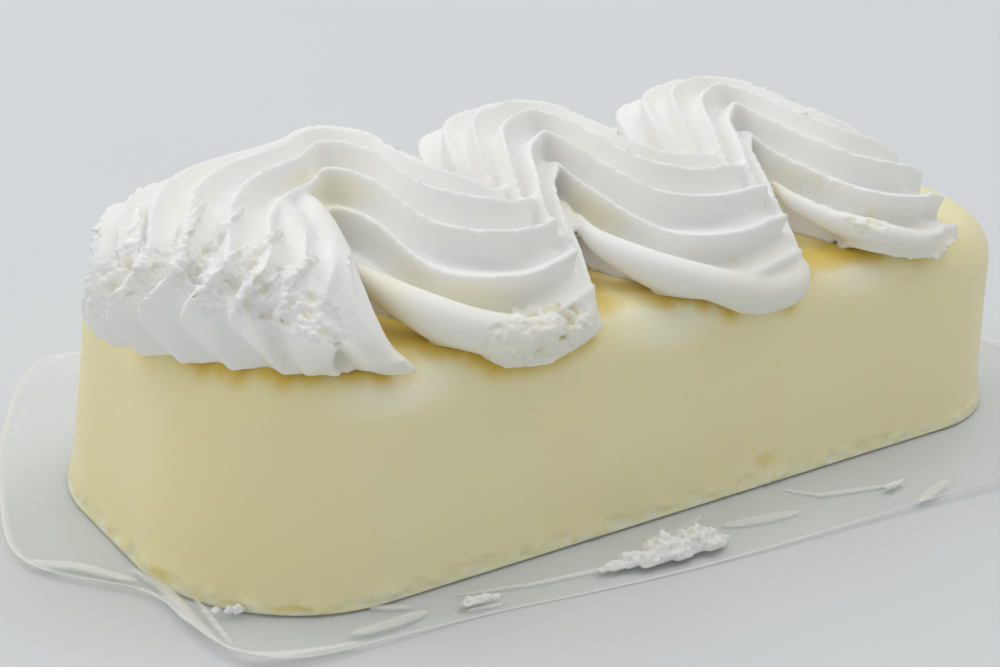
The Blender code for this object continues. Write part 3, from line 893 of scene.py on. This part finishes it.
dabs = {
    "turnDeg": -7.6,
    "around": 150,
    "up": 50,
    "drop": 0.2,  # how far the dabs sink towards the film, closing the gap that the solids keep
    "voxel": 0.1,
    "crags": {"coarse": 0.42, "lumps": 0.5, "crumbs": 0.25, "pits": 0.4, "sunk": 0.2},
    "pieces": [  # name, node, seed, scale of the crags, lumps: x, y, half length, half width, height
        ("creamDabLarge", "cream_dab_large", 71, 1.0, [
            (-4.9, -30.3, 1.8, 1.0, 1.7), (-7.0, -29.6, 1.9, 1.3, 2.6), (-8.9, -30.1, 1.7, 1.1, 1.6),
            (-10.6, -29.4, 1.9, 1.3, 2.3), (-12.6, -29.7, 1.7, 1.0, 1.2), (-14.2, -29.0, 1.6, 0.9, 1.3),
            (-15.9, -29.0, 1.4, 0.6, 0.7), (-17.3, -28.8, 0.9, 0.4, 0.5),
        ]),
        ("creamDabSmall", "cream_dab_small", 73, 0.45, [
            (-31.9, -27.3, 1.2, 0.5, 0.7), (-30.6, -27.4, 0.9, 0.5, 0.6), (-29.4, -27.6, 0.5, 0.35, 0.45),
            (-50.9, -18.1, 0.6, 0.4, 0.7), (-51.6, -17.7, 0.5, 0.35, 0.5), (-52.6, -17.2, 0.45, 0.35, 0.45),
            (20.6, -30.6, 1.0, 0.35, 0.5), (21.6, -30.4, 0.7, 0.3, 0.4), (22.6, -30.3, 0.5, 0.3, 0.35),
        ]),
    ],
}


def lumpRings(centreX, centreY, halfLength, halfWidth, height):
    # pointed dome: length and width shrink by cos(tilt)^1.4, height grows by sin(tilt), with a wavy outline
    turn = math.radians(dabs["turnDeg"])
    tilt = np.radians(np.linspace(0.0, 90.0, dabs["up"]))[:, None]
    angle = np.linspace(0.0, 2 * math.pi, dabs["around"], endpoint=False)[None]
    lump = 1.0 + 0.12 * np.sin(3 * angle + 1.0) + 0.08 * np.sin(5 * angle + 3 * tilt)
    shrink = np.clip(np.cos(tilt), 0.0, 1.0) ** 1.4
    along = halfLength * lump * shrink * np.cos(angle)
    out = halfWidth * lump * shrink * np.sin(angle)
    x = centreX + along * math.cos(turn) - out * math.sin(turn)
    y = centreY + along * math.sin(turn) + out * math.cos(turn)
    points = np.stack([x, y, blockBaseZ + height * np.sin(tilt) + 0 * x], axis=-1)
    flat = points[:1].copy()
    flat[..., :2] = flat[..., :2].mean(axis=1, keepdims=True)
    return np.concatenate([flat, points])


def makeDab(name, node, seed, scale, lumps):
    # lumps of cream joined by a fine remesh, then crags pushed out along the normals
    rings = [lumpRings(*lump) for lump in lumps]
    steps = rings[0].shape[0] * rings[0].shape[1]
    faces = []
    for place, ring in enumerate(rings):
        faces += gridFaces(*ring.shape[:2], offset=place * steps)
    piece = closeMesh(meshFromFaces(name, np.concatenate(rings).reshape(-1, 3), faces))
    join = piece.modifiers.new("joinLumps", "REMESH")
    join.mode = "VOXEL"
    join.voxel_size = dabs["voxel"] * mm
    applyModifiers(piece)
    points = readPoints(piece.data)
    height = points[:, 2] - blockBaseZ
    pits = smoothStep(0.4, 0.1, pitField(points, 1.2 * scale, seed + 5))
    size = dabs["crags"]
    crags = size["coarse"] * layeredNoise(points, 1.3 * scale, seed, 4)
    crags += size["lumps"] * crumbs(points, 1.4 * scale, seed + 3)
    crags += size["crumbs"] * crumbs(points, 0.6 * scale, seed + 4) - size["pits"] * pits - size["sunk"]
    points += readNormals(piece.data) * (scale * crags * smoothStep(0.0, 0.9 * scale, height))[:, None]
    points[:, 2] = np.maximum(points[:, 2], blockBaseZ - dabs["drop"])
    writePoints(piece.data, points)
    piece.data.shade_smooth()
    piece.data.materials.clear()
    piece.data.materials.append(creamFinish(name + "Finish", rough=True))
    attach(piece, "root")
    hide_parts(node)
    return piece


# Clear film

film = {
    "edge": [
        (-64.0, -1.0, 0.6), (-56.8, -11.0, 0.5), (-56.0, -18.0, 0.8), (-54.5, -24.5, 0.8),
        (-49.5, -27.8, 0.6), (-41.0, -28.6, 0.3), (-31.0, -29.2, 0.0), (-20.0, -31.0, 0.0),
        (-10.0, -32.4, 0.0), (2.0, -33.6, 0.2), (16.0, -34.6, 0.6), (34.0, -35.9, 1.0),
        (50.0, -36.3, 1.3), (60.5, -31.0, 1.6), (64.06, -18.0, 1.2), (63.7, 2.0, 0.6),
        (63.0, 20.0, 1.2), (56.5, 32.5, 2.4), (40.0, 36.2, 1.0), (14.0, 35.2, 0.4),
        (-14.0, 35.2, 0.6), (-34.0, 36.3, 2.0), (-47.5, 35.0, 3.4), (-56.8, 22.0, 3.0),
        (-62.0, 10.0, 1.4)],
    "stepsPerPoint": 30,
    "rings": 64,
    "innerShare": 0.62,
    "curlStart": 0.87,
    "thickness": 0.12,
    "ripple": 0.22,
    "creaseLift": 0.16,
    "freeFrom": (0.70, 0.9),  # the film lies flat under the cake up to here, as shares of the way out
    "rimShine": 0.8,
    "creases": [  # lines where the film is folded and shines: half width, then the places
        (0.75, [(-55.6, -6.2), (-54.7, -11.3), (-55.2, -18.2), (-55.3, -22.7), (-54.2, -24.8),
                (-51.5, -26.1), (-44.2, -27.8)]),
        (0.8, [(-63.2, -1.4), (-59.6, -3.9), (-56.4, -8.6)]),
        (0.35, [(-53.1, -14.4), (-53.5, -18.2), (-54.0, -22.7)]),
        (0.9, [(-43.8, -26.1), (-40.1, -26.2), (-36.0, -26.0)]),
        (0.5, [(-40.0, -22.9), (-36.7, -24.6)]),
        (0.3, [(-32.6, -27.7), (-28.7, -28.2)]),
        (0.3, [(-32.2, -24.8), (-25.2, -26.7), (-16.8, -28.1), (-11.7, -26.9)]),
        (0.9, [(-0.6, -27.5), (3.9, -28.4), (8.1, -29.1)]),
        (0.55, [(-9.5, -25.8), (-5.4, -26.1), (-1.0, -24.6)]),
        (0.5, [(10.4, -24.6), (13.2, -27.6), (22.1, -29.9)]),
        (0.8, [(20.6, -34.6), (27.6, -32.2)]),
    ],
    "colour": (0.90, 0.90, 0.79, 1.0),
    "paleColour": (0.93, 0.95, 0.93, 1.0),
    "shineColour": (0.97, 0.98, 0.98, 1.0),
}


def creaseField(points):
    # 1 along the middle of a crease, falling to 0 at its half width, which narrows to both ends
    field = np.zeros(points.shape[:-1])
    for halfWidth, path in film["creases"]:
        away, place = pathPlace(points, path)
        width = halfWidth * (0.25 + np.sqrt(np.clip(4.0 * place * (1.0 - place), 0.0, 1.0)))
        field = np.maximum(field, smoothStep(width, 0.4 * width, away))
    return field


def filmPoints():
    # rings from the middle out to the smoothed edge; the rim curls up by its own lift
    knots = np.array(film["edge"])
    rows = np.vstack([knots[-2:], knots, knots[:3]])
    steps = len(knots) * film["stepsPerPoint"]
    edge = smoothRows(rows, 2.0 + np.arange(steps) / film["stepsPerPoint"])
    share = np.concatenate([[0.001], np.linspace(film["innerShare"], 0.997, film["rings"])])[:, None]
    x, y = edge[None, :, 0] * share, edge[None, :, 1] * share
    curl = np.clip((share - film["curlStart"]) / (1.0 - film["curlStart"]), 0.0, None) ** 1.6
    z = np.clip(edge[None, :, 2], 0.0, None) * curl
    flat = np.stack([x, y, 0 * x], axis=-1)
    free = smoothStep(*film["freeFrom"], share + 0 * x)
    z = z + film["ripple"] * free * (0.5 + 0.5 * latticeNoise(flat * np.array([0.35, 1.0, 1.0]), 5.0, 81))
    crease = creaseField(flat[..., :2])
    rim = smoothStep(0.985, 0.994, share + 0 * x)
    z = z + film["creaseLift"] * crease * free
    return np.stack([x, y, z], axis=-1), np.maximum(crease, film["rimShine"] * rim)


def filmFinish():
    paint = Finish("clearFilm")
    smudge = paint.noise(14.0, 3.0)
    wrinkle = paint.noise(6.0, 2.0)
    shine = paint.stored("shine")
    bump = paint.add("ShaderNodeBump", None, {"Strength": 0.15, "Distance": 0.0004, "Height": wrinkle})
    body = paint.mix(paint.range(smudge, 0.35, 0.65), film["colour"], film["paleColour"])
    shader = paint.add("ShaderNodeBsdfPrincipled", None, {
        # painted highlight: the creases and the rim coloured whiter and made less clear
        "Base Color": paint.mix(shine, body, film["shineColour"]),
        "Roughness": paint.range(smudge, 0.3, 0.7, 0.06, 0.14),
        "Specular IOR Level": 0.6,
        "Alpha": paint.range(smudge, 0.3, 0.7, 0.035, 0.085) + shine * 0.5,
        "Coat Weight": 0.3,
        "Coat Roughness": 0.05,
        "Normal": bump,
    })
    return paint.close(shader)


def makeFilm():
    lower, shine = filmPoints()
    upper = lower + np.array([0.0, 0.0, film["thickness"]])
    points = np.concatenate([lower, upper[::-1]])
    faces = gridFaces(*points.shape[:2], capStart=True, capEnd=True)
    piece = meshFromFaces("filmSheet", points.reshape(-1, 3), faces)
    storeValue(piece.data, "shine", np.concatenate([shine, shine[::-1]]))
    closeMesh(piece)
    piece.data.materials.append(filmFinish())
    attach(piece, "root")
    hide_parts("film_sheet")
    print("stage 5: film,", len(piece.data.polygons), "faces")
    return piece


# Floor, light and camera

stage = {
    "floorColour": (0.69, 0.712, 0.725, 1.0),
    "skyColour": (0.965, 0.98, 1.0, 1.0),
    "skyStrength": 0.53,
    "lamps": [
        ("windowBehind", (-0.35, 0.75, 0.75), 0.9, 4.0),
        ("softTop", (0.42, 0.1, 1.0), 0.8, 3.3),
        ("leftFill", (-0.9, -0.2, 0.5), 0.7, 0.7),
    ],
    "viewTransform": "Standard",
    "floorRadii": (0.0, 300.0, 900.0, 2500.0, 6000.0),
    "floorDrop": 0.02,
    "cameraPlace": (-116.58, -138.27, 85.73),
    "pitch": 0.3991,
    "yaw": 0.6576,
    "roll": 0.0732,
    "focalPixels": 1772.56,
    "imageWidth": 1000.0,
    "sensorWidth": 36.0,
}


def makeFloor():
    # wide flat disc of rings, a hair under the object
    radius = np.array(stage["floorRadii"])[:, None]
    angle = np.linspace(0.0, 2 * math.pi, 96, endpoint=False)[None]
    x, y = radius * np.cos(angle), radius * np.sin(angle)
    points = np.stack([x, y, 0 * x - stage["floorDrop"]], axis=-1)
    floor = meshFromFaces("paleFloor", points.reshape(-1, 3), gridFaces(*points.shape[:2]))
    closeMesh(floor)
    paint = Finish("paleFloorFinish")
    tone = paint.noise(60.0, 2.0)
    colour = paint.mix(tone, stage["floorColour"], tuple(0.97 * part for part in stage["floorColour"]))
    shader = paint.add("ShaderNodeBsdfPrincipled", None, {"Base Color": colour, "Roughness": 0.55})
    floor.data.materials.append(paint.close(shader))


def makeLamps():
    aim = Vector((0.0, 0.0, 0.02))
    for name, place, size, power in stage["lamps"]:
        lamp = bpy.data.lights.new(name, "AREA")
        lamp.shape = "SQUARE"
        lamp.size = size
        lamp.energy = power
        holder = bpy.data.objects.new(name, lamp)
        holder.location = place
        holder.rotation_euler = (aim - Vector(place)).to_track_quat("-Z", "Y").to_euler()
        bpy.context.scene.collection.objects.link(holder)
    world = bpy.data.worlds.new("softRoom")
    world.use_nodes = True
    sky = world.node_tree.nodes["Background"]
    sky.inputs["Color"].default_value = stage["skyColour"]
    sky.inputs["Strength"].default_value = stage["skyStrength"]
    bpy.context.scene.world = world


def makeCamera():
    # yaw turns the view from +Y towards +X, pitch looks down, roll leans the picture
    pitch, yaw, roll = stage["pitch"], stage["yaw"], stage["roll"]
    ahead = Vector((math.sin(yaw) * math.cos(pitch), math.cos(yaw) * math.cos(pitch), -math.sin(pitch)))
    level = Vector((math.cos(yaw), -math.sin(yaw), 0.0))
    upright = level.cross(ahead)
    right = math.cos(roll) * level + math.sin(roll) * upright
    up = math.cos(roll) * upright - math.sin(roll) * level
    lens = bpy.data.cameras.new("photoCamera")
    lens.sensor_width = stage["sensorWidth"]
    lens.lens = stage["focalPixels"] / stage["imageWidth"] * stage["sensorWidth"]
    lens.clip_start = 0.005
    lens.clip_end = 20.0
    holder = bpy.data.objects.new("photoCamera", lens)
    turn = Matrix((right, up, -ahead)).transposed().to_4x4()
    place = Vector(stage["cameraPlace"]) + Vector((0.0, 0.0, blockBaseZ))
    holder.matrix_world = Matrix.Translation(place * mm) @ turn
    bpy.context.scene.collection.objects.link(holder)
    bpy.context.scene.camera = holder
    bpy.context.scene.view_settings.view_transform = stage["viewTransform"]


makeCamera()
makeFloor()
makeLamps()
cheeseBlock = makeBlock()
seat = makeSeat()
creamWave = makeCream(seat)
bpy.data.objects.remove(seat)
shadeUnderCream(cheeseBlock, creamWave)
for name, node, seed, scale, lumps in dabs["pieces"]:
    makeDab(name, node, seed, scale, lumps)
print("stage 4: dabs of cream")
makeFilm()
